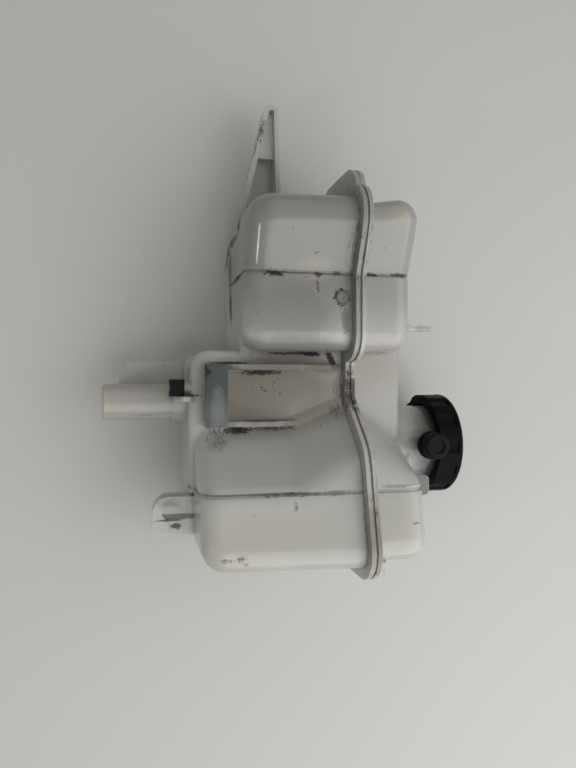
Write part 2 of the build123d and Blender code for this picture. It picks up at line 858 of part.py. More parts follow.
with BuildPart() as pressure_spring:
    add(coil_spring(plate_top_z, guide_low_z, spring_diameter, spring_wire, spring_turns))

with BuildPart() as vacuum_spring:
    add(coil_spring(plate_top_z, washer_z, vacuum_spring_diameter, vacuum_spring_wire, vacuum_spring_turns))

os.makedirs("parts", exist_ok=True)
pieces = {
    "lower_shell": lower_shell,
    "upper_shell": upper_shell,
    "overflow_plug": overflow_plug,
    "mount_buffer": mount_buffer,
    "filler_cap": filler_cap,
    "cap_gasket": cap_gasket,
    "valve_guide": valve_guide,
    "pressure_spring": pressure_spring,
    "pressure_valve": pressure_valve,
    "pressure_gasket": pressure_gasket,
    "vacuum_valve": vacuum_valve,
    "vacuum_spring": vacuum_spring,
    "vacuum_washer": vacuum_washer,
}
for name, piece in pieces.items():
    piece.part.label = name
    export_step(piece.part, f"parts/{name}.step")
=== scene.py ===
import math

import bpy
from mathutils import Matrix, Vector


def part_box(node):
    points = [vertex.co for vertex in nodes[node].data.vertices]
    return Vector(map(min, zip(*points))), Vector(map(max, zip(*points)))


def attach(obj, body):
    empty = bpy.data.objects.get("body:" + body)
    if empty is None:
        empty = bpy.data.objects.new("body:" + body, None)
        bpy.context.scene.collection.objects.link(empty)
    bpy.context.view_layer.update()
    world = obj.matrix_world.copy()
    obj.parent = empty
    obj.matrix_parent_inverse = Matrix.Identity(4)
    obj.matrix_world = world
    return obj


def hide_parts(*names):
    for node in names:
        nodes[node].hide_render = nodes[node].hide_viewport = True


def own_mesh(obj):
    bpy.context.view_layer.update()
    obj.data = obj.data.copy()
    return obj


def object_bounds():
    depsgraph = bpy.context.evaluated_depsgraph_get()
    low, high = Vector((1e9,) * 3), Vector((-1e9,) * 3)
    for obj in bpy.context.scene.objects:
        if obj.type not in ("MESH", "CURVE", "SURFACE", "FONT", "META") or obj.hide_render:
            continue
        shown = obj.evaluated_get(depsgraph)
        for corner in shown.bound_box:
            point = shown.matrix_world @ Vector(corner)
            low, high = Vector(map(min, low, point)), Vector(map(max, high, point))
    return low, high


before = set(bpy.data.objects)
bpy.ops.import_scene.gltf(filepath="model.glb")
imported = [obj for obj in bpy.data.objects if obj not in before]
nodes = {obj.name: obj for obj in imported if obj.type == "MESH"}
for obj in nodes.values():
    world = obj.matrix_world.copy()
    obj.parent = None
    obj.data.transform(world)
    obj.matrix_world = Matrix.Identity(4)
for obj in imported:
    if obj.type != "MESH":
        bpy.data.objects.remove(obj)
cadLow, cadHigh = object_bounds()
scene = bpy.context.scene
scene.view_settings.view_transform = "Standard"
mm = 0.001
print("frame loaded:", len(nodes), "nodes")


# small helpers for node trees

def plug(tree, node, sockets):
    for key, value in sockets.items():
        if isinstance(value, bpy.types.NodeSocket):
            tree.links.new(value, node.inputs[key])
        else:
            node.inputs[key].default_value = value


def put(tree, kind, sockets=None, **props):
    node = tree.nodes.new("ShaderNode" + kind)
    for key, value in props.items():
        setattr(node, key, value)
    plug(tree, node, sockets or {})
    return node


def math2(tree, operation, a, b=0.5, c=0.5, clamp=False):
    return put(tree, "Math", {0: a, 1: b, 2: c}, operation=operation, use_clamp=clamp).outputs[0]


def ramp(tree, value, edge, start=0.0, end=1.0):
    low, high = edge
    sockets = {"Value": value, "From Min": low, "From Max": high, "To Min": start, "To Max": end}
    return put(tree, "MapRange", sockets, interpolation_type="SMOOTHSTEP").outputs["Result"]


def noise(tree, place, scale, detail, roughness=0.5):
    sockets = {"Vector": place, "Scale": scale, "Detail": detail, "Roughness": roughness}
    return put(tree, "TexNoise", sockets).outputs


def tint(tree, mask, under, over):
    # 0, 6 and 7 are the factor and the two colours of a colour mix
    node = put(tree, "Mix", {0: mask, 6: under, 7: over}, data_type="RGBA", clamp_factor=True)
    return node.outputs[2]


def rgb(r, g, b):
    return (r, g, b, 1.0)


def newGroup(name, inputs, outputs):
    group = bpy.data.node_groups.new(name, "ShaderNodeTree")
    for label, kind, value in inputs:
        socket = group.interface.new_socket(label, in_out="INPUT", socket_type="NodeSocket" + kind)
        if value is not None:
            socket.default_value = value
    for label, kind in outputs:
        group.interface.new_socket(label, in_out="OUTPUT", socket_type="NodeSocket" + kind)
    source = group.nodes.new("NodeGroupInput").outputs
    sink = group.nodes.new("NodeGroupOutput").inputs
    return group, source, sink


def useGroup(tree, group, sockets):
    node = tree.nodes.new("ShaderNodeGroup")
    node.node_tree = group
    plug(tree, node, sockets)
    return node.outputs


# shared effects

skinSettings = {"wave": 45.0, "tooth": 1400.0, "toothShare": 0.12, "cloud": 17.0, "cloudEdge": (0.32, 0.68)}


def makeSkinGroup():
    # moulded skin: slow waviness of the wall and a fine tooth
    s = skinSettings
    group, source, sink = newGroup(
        "mouldedSkin",
        [("Place", "Vector", None), ("Wave", "Float", s["wave"]), ("Tooth", "Float", s["tooth"])],
        [("Height", "Float"), ("Cloud", "Float")],
    )
    wave = noise(group, source["Place"], source["Wave"], detail=3.0)
    tooth = noise(group, source["Place"], source["Tooth"], detail=2.0)
    fine = math2(group, "MULTIPLY", tooth["Fac"], s["toothShare"])
    group.links.new(math2(group, "ADD", wave["Fac"], fine), sink["Height"])
    cloud = noise(group, source["Place"], s["cloud"], detail=4.0, roughness=0.6)
    group.links.new(ramp(group, cloud["Fac"], s["cloudEdge"]), sink["Cloud"])
    return group


speckSettings = {
    "cells": 260.0, "size": 0.2, "spread": 0.5,
    "bendScale": 420.0, "bend": 4 * mm,             # makes each speck ragged
    "patchScale": 60.0, "patchEdge": (0.5, 0.66),
}


def makeSpeckGroup():
    # scattered specks of soot, gathered in patches
    s = speckSettings
    group, source, sink = newGroup(
        "sootSpecks",
        [("Place", "Vector", None), ("Cells", "Float", s["cells"]), ("Size", "Float", s["size"]),
         ("Spread", "Float", s["spread"])],
        [("Mask", "Float")],
    )
    bend = noise(group, source["Place"], s["bendScale"], detail=3.0)
    shift = put(group, "VectorMath", {0: bend["Color"], "Scale": s["bend"]}, operation="SCALE")
    place = put(group, "VectorMath", {0: source["Place"], 1: shift.outputs[0]}, operation="ADD")
    cells = put(group, "TexVoronoi", {"Vector": place.outputs[0], "Scale": source["Cells"]})
    pick = put(group, "SeparateColor", {"Color": cells.outputs["Color"]})
    size = math2(group, "MULTIPLY", source["Size"], pick.outputs["Green"])
    speck = math2(group, "LESS_THAN", cells.outputs["Distance"], size)
    some = math2(group, "LESS_THAN", pick.outputs["Red"], source["Spread"])
    patch = noise(group, source["Place"], s["patchScale"], detail=3.0)
    where = ramp(group, patch["Fac"], s["patchEdge"])
    both = math2(group, "MULTIPLY", speck, some)
    group.links.new(math2(group, "MULTIPLY", both, where), sink["Mask"])
    return group


spotSettings = {"reach": 10 * mm, "edge": 0.78, "soft": 0.28, "ragged": 0.5}


def makeSpotGroup():
    # one ragged patch or streak round a point, turned in the front plane
    s = spotSettings
    group, source, sink = newGroup(
        "raggedSpot",
        [("Place", "Vector", None), ("Centre", "Vector", None), ("Reach", "Vector", [s["reach"]] * 3),
         ("Turn", "Float", 0.0), ("Fray", "Float", 0.0), ("Ragged", "Float", s["ragged"]),
         ("Soft", "Float", s["soft"]), ("Strength", "Float", 1.0)],
        [("Mask", "Float")],
    )
    offset = put(group, "VectorMath", {0: source["Place"], 1: source["Centre"]}, operation="SUBTRACT")
    turned = put(
        group, "VectorRotate", {"Vector": offset.outputs[0], "Angle": source["Turn"]}, rotation_type="Y_AXIS",
    )
    scaled = put(group, "VectorMath", {0: turned.outputs[0], 1: source["Reach"]}, operation="DIVIDE")
    away = put(group, "VectorMath", {0: scaled.outputs[0]}, operation="LENGTH")
    frayed = math2(group, "MULTIPLY_ADD", source["Fray"], source["Ragged"], away.outputs["Value"])
    inner = math2(group, "SUBTRACT", s["edge"], source["Soft"])
    outer = math2(group, "ADD", s["edge"], source["Soft"])
    mask = ramp(group, frayed, (inner, outer), 1.0, 0.0)
    group.links.new(math2(group, "MULTIPLY", mask, source["Strength"]), sink["Mask"])
    return group


fraySettings = {"tear": 330.0, "grit": 1500.0, "gain": 2.6}


def makeFrayGroup():
    # two sizes of noise about zero that break up the edges of the patches
    s = fraySettings
    group, source, sink = newGroup("frayedEdge", [("Place", "Vector", None)], [("Fray", "Float")])
    tear = noise(group, source["Place"], s["tear"], detail=4.0, roughness=0.7)
    grit = noise(group, source["Place"], s["grit"], detail=2.0, roughness=0.6)
    both = math2(group, "ADD", tear["Fac"], grit["Fac"])
    group.links.new(math2(group, "MULTIPLY_ADD", both, s["gain"], -s["gain"]), sink["Fray"])
    return group


runSettings = {"stretch": (90.0, 500.0, 1500.0), "edge": (0.5, 0.64)}


def makeRunGroup():
    # thin runs of dirt drawn out along the tank
    s = runSettings
    group, source, sink = newGroup(
        "dirtRuns",
        [("Place", "Vector", None), ("Stretch", "Vector", s["stretch"]), ("Amount", "Float", 1.0)],
        [("Mask", "Float")],
    )
    drawn = put(group, "VectorMath", {0: source["Place"], 1: source["Stretch"]}, operation="MULTIPLY")
    runs = noise(group, drawn.outputs[0], 1.0, detail=3.0, roughness=0.6)
    mask = ramp(group, runs["Fac"], s["edge"])
    group.links.new(math2(group, "MULTIPLY", mask, source["Amount"], clamp=True), sink["Mask"])
    return group


creaseSettings = {"reach": 4 * mm, "breaks": 90.0, "depthEdge": (0.35, 0.8), "breakEdge": (0.36, 0.62), "samples": 8}


def makeCreaseGroup():
    # a mask of corners, seams and grooves, found by occlusion and broken up by noise
    s = creaseSettings
    group, source, sink = newGroup(
        "creaseOcclusionMask",
        [("Place", "Vector", None), ("Reach", "Float", s["reach"]), ("Breaks", "Float", s["breaks"]),
         ("Amount", "Float", 1.0)],
        [("Mask", "Float")],
    )
    near = put(group, "AmbientOcclusion", {"Distance": source["Reach"]}, samples=s["samples"], only_local=True)
    depth = ramp(group, near.outputs["AO"], s["depthEdge"], 1.0, 0.0)
    breaks = noise(group, source["Place"], source["Breaks"], detail=5.0, roughness=0.7)
    broken = ramp(group, breaks["Fac"], s["breakEdge"])
    creaseAmount = math2(group, "MULTIPLY", depth, broken)
    group.links.new(math2(group, "MULTIPLY", creaseAmount, source["Amount"], clamp=True), sink["Mask"])
    return group


skinGroup = makeSkinGroup()
speckGroup = makeSpeckGroup()
spotGroup = makeSpotGroup()
frayGroup = makeFrayGroup()
runGroup = makeRunGroup()
creaseGroup = makeCreaseGroup()
print("effects ready:", len(bpy.data.node_groups), "groups")


# what every finish starts and ends with

def newMaterial(name, settings):
    material = bpy.data.materials.new(name)
    material.use_nodes = True
    tree = material.node_tree
    tree.nodes.clear()
    shader = put(tree, "BsdfPrincipled", settings)
    put(tree, "OutputMaterial", {"Surface": shader.outputs[0]})
    place = put(tree, "TexCoord").outputs["Object"]
    return material, tree, shader, place


def addBump(tree, shader, height, settings):
    bump = put(tree, "Bump", {"Height": height, **settings})
    tree.links.new(bump.outputs[0], shader.inputs["Normal"])


def addRoughness(tree, shader, cloud, s):
    rough = math2(tree, "MULTIPLY_ADD", cloud, s["roughCloud"], s["rough"])
    tree.links.new(rough, shader.inputs["Roughness"])


# tank plastic, shared by both shells

tankPlastic = {
    "milk": rgb(0.66, 0.65, 0.605),
    "thin": rgb(0.58, 0.585, 0.56),
    "soot": rgb(0.02, 0.017, 0.014),
    "creaseAmount": 0.2,
    "specks": 0.7,
    "crowd": {"Cells": 620.0, "Size": 0.5, "Spread": 0.55},      # small specks, close together
    "gloss": 0.6,
    "rough": 0.36, "roughCloud": 0.12, "roughMatt": 0.5,
    "softEdge": 7 * mm, "softSamples": 6,
    "soft": 0.28,          # edge of a patch, of a stain and of painted shade alike
    "crisp": 0.1,          # edge of a clot of dirt
    "clotFrom": 0.45,      # patches more ragged than this are clots, and matt
    "areaRagged": 0.3,
    "bump": {"Strength": 0.12, "Distance": 0.6 * mm},
    "shader": {
        "IOR": 1.49, "Subsurface Weight": 0.9, "Subsurface Scale": 0.0015, "Subsurface Radius": (1.0, 0.92, 0.8),
        "Coat Roughness": 0.09, "Transmission Weight": 0.35,
    },
}

# colours of the patches: real dirt and stains, and also the colours of painted shade and painted light
dirtAndPaintedShading = {
    "soot": rgb(0.018, 0.015, 0.013),
    "oil": rgb(0.05, 0.036, 0.026),
    "brown": rgb(0.14, 0.1, 0.07),
    "dust": rgb(0.215, 0.185, 0.135),
    "mauve": rgb(0.2, 0.18, 0.185),
    "teal": rgb(0.04, 0.053, 0.054),
    "steel": rgb(0.105, 0.119, 0.128),
    "mist": rgb(0.22, 0.223, 0.215),
    "grey": rgb(0.262, 0.259, 0.244),
    "haze": rgb(0.345, 0.342, 0.32),
    "straw": rgb(0.55, 0.52, 0.4),
    "lime": rgb(0.36, 0.36, 0.17),
    "warm": rgb(0.45, 0.43, 0.385),
    "slate": rgb(0.12, 0.125, 0.12),
    "fern": rgb(0.38, 0.39, 0.36),
    "pale": rgb(0.6, 0.62, 0.62),
    "neck": rgb(0.034, 0.034, 0.032),
}

# patches on the shells, stains and some painted shade and light: centre and reach in mm, turn in degrees, colour,
# strength, ragged edge
lowerPatches = {
    "smallGrey": ((-80, 0, 2), (56, 80, 62), 0, "grey", 0.85, 0.05),
    "smallMist": ((-41, -17, -2), (20, 8, 27), 0, "mist", 0.6, 0.12),
    "smallStraw": ((-64, -17, 10), (8, 6, 11), 0, "straw", 0.3, 0.4),
    "recess": ((-2, 0, -8), (23, 34, 46), 0, "dust", 0.85, 0.08),
    # slopeTone: darker warm tone on the slope that faces away from the lamps, painted shade
    "slopeTone": ((28, -14, -8), (24, 40, 50), 0, "warm", 0.25, 0.08),
    "smallFoot": ((-25, -10, 0), (8, 20, 36), 0, "mist", 0.75, 0.05),
    "deepTone": ((-12, 0, -50), (14, 22, 13), 0, "warm", 0.7, 0.2),
    "tongueTone": ((-140, 32, -4), (42, 30, 26), 0, "grey", 0.2, 0.05),
    "stepBand": ((-19.5, -2, -2), (4, 9, 24), 0, "mauve", 0.55, 0.3),
    "largeStraw": ((66, -36, -10), (16, 9, 40), 0, "straw", 0.3, 0.3),
    # trough: paler inside the tongue's trough, painted light against the shade of the hollow
    "trough": ((-146, 37, -6), (18, 6, 8), -14, "pale", 0.8, 0.15),
    # pocket: dark grey-green in the tongue's deep pocket, painted shade
    "pocket": ((-122, 42, -5), (17, 7, 9), -10, "fern", 0.75, 0.1),
    "troughLine": ((-140, 31, -11), (16, 4, 0.9), -15, "soot", 0.9, 0.75),
    "troughScrape": ((-148, 31, -8), (8, 4, 2.4), -15, "oil", 0.8, 1.1),
    "underCorner": ((-100, -8, -22), (10, 14, 2.4), -30, "soot", 0.9, 0.9),
    "underBlob": ((-89, 5, -25), (5, 6, 4), 0, "soot", 0.9, 0.9),
    "underStreak": ((-84, 25, -26), (2.8, 20, 4), 0, "soot", 0.8, 0.9),
    "underTail": ((-78, 41, -26), (8, 7, 4), 0, "oil", 0.85, 0.8),
    "underCrease": ((-61.5, 14, -25), (1.6, 20, 4), 0, "soot", 0.85, 0.6),
    "underEdge": ((-48, 31, -26), (9, 6, 4), 0, "oil", 0.75, 0.8),
    "smallCrease": ((-61.6, -17, 0), (0.6, 5, 27), 0, "brown", 0.3, 0.7),
    "creaseClot": ((-61, -17, -10.5), (1.5, 5, 6), 0, "soot", 0.95, 1.0),
    "creaseClotEnd": ((-61.4, -17, 11.5), (1.4, 5, 2), 0, "soot", 0.8, 0.9),
    "creaseClotSide": ((-62, -17, 21), (1.2, 5, 3), 0, "oil", 0.6, 1.0),
    "creaseDrip": ((-55.5, -17, 11), (4, 5, 1.1), 8, "brown", 0.75, 0.8),
    "gateRing": ((-50.2, -18, 23.4), (5.2, 5, 5), 0, "soot", 0.95, 0.5),
    "gateCentre": ((-50, -18, 23.5), (3.6, 5, 3.4), 0, "haze", 0.95, 0.25),
    "gateSmear": ((-40, -17, 26), (8, 5, 3), 0, "mauve", 0.6, 0.6),
    "stepLine": ((-22.8, -1, 3), (1.1, 7, 20), 0, "oil", 0.85, 0.7),
    "stepClot": ((-22.6, -1, 12), (1.6, 6, 7), 0, "soot", 0.95, 0.6),
    "stepCorner": ((-20, -1, 23), (5, 7, 2.2), 25, "soot", 0.9, 0.5),
    "longRailBack": ((-17.6, -4, -31), (1.1, 9, 13), 0, "soot", 0.85, 0.6),
    "longRailTone": ((-15, -10, -12), (3, 5, 26), 0, "mauve", 0.6, 0.5),
    "longRailEnd": ((-14.6, -8, 18), (5, 12, 15), 0, "dust", 0.9, 0.2),
    "longRailFoot": ((-12.9, -1, -15), (1.7, 6, 13), 0, "soot", 0.9, 0.75),
    "longRailFace": ((-13.6, -6, -26), (1, 6, 8), 0, "oil", 0.75, 0.9),
    # strapTone and strapTeal: the strap darkened blue-grey, painted shade of the dark void behind it seen through
    # the plastic
    "strapTone": ((3, -9.2, -38.7), (24, 6, 13), 0, "steel", 0.95, 0.1),
    "strapTeal": ((-10, -9.2, -38.7), (17, 6, 13), 0, "teal", 0.95, 0.2),
    "strapShine": ((5, -10, -37.5), (13, 3, 4), 0, "pale", 0.2, 0.4),
    "strapCorner": ((-13, -9, -44), (4, 6, 3), 20, "soot", 0.9, 1.0),
    "strapEdge": ((-2, -8, -44.6), (22, 6, 0.7), 0, "soot", 0.8, 0.6),
    "greenSpot": ((8.6, 0, -28), (3.4, 4, 2.6), 0, "lime", 0.6, 0.4),
    "shortRailTone": ((13, -10, -16), (3, 5, 22), 0, "mauve", 0.4, 0.5),
    "shortRailEdge": ((11.2, -7, -16), (0.9, 7, 18), 0, "oil", 0.85, 0.6),
    "shortRailFoot": ((16, -3, -27), (2.8, 7, 9), 0, "soot", 0.92, 0.6),
    "shortRailRun": ((15.4, -3, -9), (1.4, 6, 12), 0, "oil", 0.7, 0.9),
    "socketSmudge": ((9.5, -1, 25), (5, 6, 5), 0, "brown", 0.5, 0.7),
    "largeCrease": ((44.5, -33, -20), (0.6, 5, 46), 0, "mauve", 0.35, 0.5),
    "largeCreaseDark": ((44.6, -33, -6), (0.9, 5, 18), 0, "brown", 0.7, 1.0),
    "largeCreaseSmear": ((44.5, -33, 16), (1.8, 5, 7), 0, "mauve", 0.6, 0.8),
    "largeCorner": ((43.7, -33, -50), (3, 9, 2.4), 0, "soot", 0.8, 0.6),
    "largeSpeckA": ((50, -34, -4.4), (2.4, 4, 1.2), 0, "oil", 0.55, 1.1),
    "largeSpeckB": ((44.4, -33, -45.5), (1.1, 4, 1.2), 0, "soot", 0.85, 0.7),
    "edgeMark": ((71.3, -36, -30.5), (1.7, 6, 2.8), 0, "oil", 0.85, 1.0),
    "edgeRun": ((72, -36, -37.5), (1.3, 6, 3.6), 0, "brown", 0.75, 1.1),
    "edgeDot": ((74, -35, -28.2), (1.1, 6, 1.3), 0, "soot", 0.8, 0.9),
    "edgeStraw": ((76, -34, -33), (7, 9, 12), 0, "straw", 0.45, 0.4),
    "nozzleTone": ((2, 22, -76), (18, 20, 44), 0, "warm", 0.7, 0.05),
    # nozzleBand: darker band on the nozzle end's bevel, painted shade in a yellowish tone
    "nozzleBand": ((2.2, 14, -91), (10, 10, 2.4), 0, "straw", 0.6, 0.2),
    "nozzleLine": ((9, 13, -71), (0.7, 4, 5), 0, "oil", 0.8, 0.5),
    "gussetTop": ((-1.2, -2, -51), (0.8, 6, 9), 0, "soot", 0.85, 0.4),
    "deepEdge": ((-14, 2, -52), (6, 5, 2.4), 0, "soot", 0.75, 0.4),
    "bossDots": ((7, 2, -56), (4, 6, 3), 0, "mauve", 0.7, 1.0),
    "loopShade": ((52, 3, -60), (5, 9, 9), 0, "dust", 0.7, 0.4),
    "loopEdge": ((60, -2, -61), (0.8, 4, 9), 0, "oil", 0.8, 0.6),
    "loopMarks": ((62.5, -3, -57), (1.6, 4, 4), 0, "soot", 0.8, 1.2),
    "lipTone": ((-55, -25, 31), (75, 50, 7), 0, "haze", 0.7, 0.1),
    "lipGroove": ((-10, -20, 31.4), (110, 60, 0.6), 0, "oil", 0.35, 1.0),
    "lipFoot": ((-10, -20, 29), (110, 60, 0.4), 0, "brown", 0.4, 0.6),
    "lipDark": ((-3, -10, 30.6), (11, 20, 2), 0, "soot", 0.8, 0.9),
    "lipDust": ((66, -42, 30.4), (24, 40, 2.6), 0, "dust", 0.6, 0.45),
    "lipWedge": ((-104, -20, 25), (6, 22, 4), 35, "oil", 0.8, 0.6),
}
upperPatches = {
    "smallHaze": ((-80, 0, 48), (56, 80, 40), 0, "haze", 0.75, 0.05),
    "middleHaze": ((0, 0, 50), (42, 60, 28), 0, "warm", 0.6, 0.05),
    "neckShade": ((27, 12, 90), (34, 34, 24), 0, "neck", 0.95, 0.06),
    "neckFoot": ((34, -4, 66), (8, 12, 3), -50, "oil", 0.7, 0.3),
    "finGrey": ((44.5, -18, 66), (12, 5, 9), 0, "slate", 0.95, 0.1),
    "fingerGrey": ((-36, -9, 69), (4, 6, 8), 0, "mauve", 0.6, 0.3),
    "lipTop": ((-10, -20, 34.7), (110, 60, 0.5), 0, "oil", 0.35, 0.8),
    "lipSeam": ((-10, -20, 32.2), (110, 60, 0.5), 0, "oil", 0.3, 1.0),
    "lipDark": ((-3, -10, 33.4), (11, 20, 2), 0, "soot", 0.8, 0.9),
    "lipDust": ((66, -42, 33.6), (24, 40, 2.4), 0, "dust", 0.7, 0.45),
    "upperTick": ((60, -34, 55), (0.7, 7, 3), 0, "soot", 0.65, 0.8),
    "upperCreaseLow": ((-62, -17, 39), (1.0, 5, 5), 0, "soot", 0.85, 0.8),
    "upperCreaseHigh": ((-62.3, -17, 55), (1.0, 6, 7), 0, "oil", 0.85, 0.8),
    "upperStraw": ((-91, -28, 51), (8, 8, 6), 0, "straw", 0.45, 0.4),
    "upperLarge": ((42.5, -32, 46), (1, 5, 9), 0, "mauve", 0.5, 0.5),
    "upperWarm": ((60, -36, 45), (22, 10, 18), 0, "straw", 0.25, 0.3),
}

# places where specks of soot gather: centre and reach in mm, strength
lowerSpecks = {
    "recessFloor": ((2, 0, -2), (18, 8, 34), 0.95),
    "smallCorner": ((-29, -14, -20), (7, 10, 5), 0.8),
    "creaseRun": ((-60, -17, 2), (4, 6, 22), 0.6),
    "gate": ((-48, -18, 25), (10, 6, 6), 0.6),
    "shortRail": ((15.5, -4, -14), (4, 8, 20), 0.9),
    "shortRailEnd": ((12.5, -4, 4), (5, 8, 5), 0.9),
    "socketEnd": ((8.5, -1, 26), (5, 8, 5), 0.9),
    "strapCorner": ((-12, -8, -44), (5, 8, 6), 0.9),
    "longRail": ((-16, -4, -18), (5, 9, 22), 0.8),
    "largeEdge": ((71, -39, -34), (3.5, 6, 9), 0.7),
    "lipRun": ((-70, -30, 30), (34, 30, 4), 0.7),
    "loop": ((62, -3, -60), (4, 6, 8), 0.8),
    "under": ((-84, 15, -25), (24, 40, 5), 0.7),
}
upperSpecks = {
    "lipRun": ((-70, -30, 34), (34, 30, 4), 0.7),
    "lipGate": ((-51, -20, 37), (9, 14, 4), 0.9),
    "straw": ((-90, -30, 51), (8, 9, 6), 0.7),
    "creaseEnd": ((-61, -17, 58), (4, 8, 4), 0.7),
}

# runs of dirt along the tank: centre and reach in mm, strength
lowerRuns = {
    "lip": ((-72, -30, 29), (36, 30, 6), 0.6),
    "strapTail": ((19, -6, -38), (12, 12, 6), 0.75),
    "recessEnd": ((-2, -4, 27), (18, 12, 5), 0.5),
}
upperRuns = {
    "lip": ((-72, -30, 34), (36, 30, 4), 0.55),
    "lipLarge": ((50, -40, 34), (40, 30, 3), 0.4),
}

# slim forms that keep their sharp edges: centre and reach in mm, strength
slimAreas = {
    "lip": ((-10, -20, 32), (260, 160, 9), 1.0),
    "fin": ((44.5, -18, 67), (14, 8, 12), 1.0),
    "finger": ((-36, -9, 70), (9, 10, 14), 1.0),
    "rails": ((-2, -6, -12), (30, 18, 52), 1.0),
    "tongue": ((-140, 35, -5), (60, 55, 50), 1.0),
    "loop": ((57, 5, -62), (26, 22, 20), 1.0),
    "nozzle": ((2, 15, -78), (40, 40, 40), 1.0),
    "neck": ((27, 25, 88), (50, 50, 30), 1.0),
}


def gather(tree, place, fray, areas):
    total = None
    for centre, reach, strength in areas.values():
        spot = useGroup(tree, spotGroup, {
            "Place": place, "Centre": Vector(centre) * mm, "Reach": Vector(reach) * mm,
            "Fray": fray, "Ragged": tankPlastic["areaRagged"], "Strength": strength,
        })
        total = spot["Mask"] if total is None else math2(tree, "MAXIMUM", total, spot["Mask"])
    return total


def addPatches(tree, place, fray, colour, patches):
    s = tankPlastic
    matt = None
    # each patch lays its colour, a stain or painted shade or painted light, over the plastic
    for centre, reach, turn, patchColour, strength, ragged in patches.values():
        clot = ragged > s["clotFrom"]
        spot = useGroup(tree, spotGroup, {
            "Place": place, "Centre": Vector(centre) * mm, "Reach": Vector(reach) * mm,
            "Turn": math.radians(turn), "Fray": fray, "Ragged": ragged,
            "Soft": s["crisp"] if clot else s["soft"], "Strength": strength,
        })
        colour = tint(tree, spot["Mask"], colour, dirtAndPaintedShading[patchColour])
        if clot:
            matt = spot["Mask"] if matt is None else math2(tree, "MAXIMUM", matt, spot["Mask"])
    return colour, matt


def tankMaterial(name, patches, speckAreas, runAreas):
    s = tankPlastic
    material, tree, shader, place = newMaterial(name, s["shader"])
    skin = useGroup(tree, skinGroup, {"Place": place})
    fray = useGroup(tree, frayGroup, {"Place": place})["Fray"]
    colour = tint(tree, skin["Cloud"], s["milk"], s["thin"])
    colour, matt = addPatches(tree, place, fray, colour, patches)
    runs = useGroup(tree, runGroup, {"Place": place, "Amount": gather(tree, place, fray, runAreas)})
    colour = tint(tree, runs["Mask"], colour, dirtAndPaintedShading["oil"])
    # soot laid where surfaces close in: dirt that gathers in the creases, and painted shade in them as well
    crease = useGroup(tree, creaseGroup, {"Place": place, "Amount": s["creaseAmount"]})
    colour = tint(tree, crease["Mask"], colour, s["soot"])
    loose = useGroup(tree, speckGroup, {"Place": place})
    colour = tint(tree, math2(tree, "MULTIPLY", loose["Mask"], s["specks"]), colour, s["soot"])
    crowd = useGroup(tree, speckGroup, {"Place": place, **s["crowd"]})
    many = math2(tree, "MULTIPLY", crowd["Mask"], gather(tree, place, fray, speckAreas))
    colour = tint(tree, many, colour, s["soot"])
    tree.links.new(colour, shader.inputs["Base Color"])

    rough = math2(tree, "MULTIPLY_ADD", skin["Cloud"], s["roughCloud"], s["rough"])
    rough = math2(tree, "MULTIPLY_ADD", matt, s["roughMatt"], rough, clamp=True)
    tree.links.new(rough, shader.inputs["Roughness"])
    gloss = math2(tree, "MULTIPLY_ADD", matt, -s["gloss"], s["gloss"])      # clots of dirt don't shine
    tree.links.new(gloss, shader.inputs["Coat Weight"])

    slim = gather(tree, place, fray, slimAreas)
    radius = math2(tree, "MULTIPLY_ADD", slim, -s["softEdge"], s["softEdge"])
    soft = put(tree, "Bevel", {"Radius": radius}, samples=s["softSamples"])
    addBump(tree, shader, skin["Height"], {**s["bump"], "Normal": soft.outputs[0]})
    return material


# black plastic of the cap and its valve guide

capPlastic = {
    "base": rgb(0.0035, 0.0035, 0.004), "dust": rgb(0.012, 0.0115, 0.011), "dustCloud": 0.35,
    "rough": 0.34, "roughCloud": 0.15,
    "tooth": 2200.0, "crease": 2 * mm,
    "bump": {"Strength": 0.2, "Distance": 0.3 * mm},
    "shader": {"IOR": 1.45, "Specular IOR Level": 0.05},
}


def blackPlastic():
    s = capPlastic
    material, tree, shader, place = newMaterial("capPlastic", s["shader"])
    skin = useGroup(tree, skinGroup, {"Place": place, "Tooth": s["tooth"]})
    crease = useGroup(tree, creaseGroup, {"Place": place, "Reach": s["crease"]})
    colour = tint(tree, crease["Mask"], s["base"], s["dust"])
    colour = tint(tree, math2(tree, "MULTIPLY", skin["Cloud"], s["dustCloud"]), colour, s["dust"])
    tree.links.new(colour, shader.inputs["Base Color"])
    addRoughness(tree, shader, skin["Cloud"], s)
    addBump(tree, shader, skin["Height"], s["bump"])
    return material


# rubber of the plug, the buffer and the seals

sealRubber = {
    "base": rgb(0.006, 0.005, 0.007), "bloom": rgb(0.012, 0.0105, 0.0125), "bloomCloud": 0.5,
    "rough": 0.48, "roughCloud": 0.2,
    "wave": 160.0, "tooth": 3000.0,
    "bump": {"Strength": 0.3, "Distance": 0.2 * mm},
    "shader": {"IOR": 1.45, "Specular IOR Level": 0.1},
}


def blackRubber():
    s = sealRubber
    material, tree, shader, place = newMaterial("sealRubber", s["shader"])
    skin = useGroup(tree, skinGroup, {"Place": place, "Wave": s["wave"], "Tooth": s["tooth"]})
    colour = tint(tree, math2(tree, "MULTIPLY", skin["Cloud"], s["bloomCloud"]), s["base"], s["bloom"])
    tree.links.new(colour, shader.inputs["Base Color"])
    addRoughness(tree, shader, skin["Cloud"], s)
    addBump(tree, shader, skin["Height"], s["bump"])
    return material


# metals of the valves

metalSettings = {
    "valveSteel": {"base": rgb(0.55, 0.55, 0.56), "dark": rgb(0.3, 0.3, 0.31), "rough": 0.25, "roughCloud": 0.15},
    "springSteel": {"base": rgb(0.4, 0.4, 0.42), "dark": rgb(0.16, 0.15, 0.14), "rough": 0.31, "roughCloud": 0.15},
    "valveBrass": {"base": rgb(0.6, 0.44, 0.2), "dark": rgb(0.32, 0.2, 0.08), "rough": 0.27, "roughCloud": 0.15},
}
metalSkin = {"wave": 300.0, "tooth": 4000.0, "crease": 1.5 * mm, "bump": {"Strength": 0.15, "Distance": 0.1 * mm}}


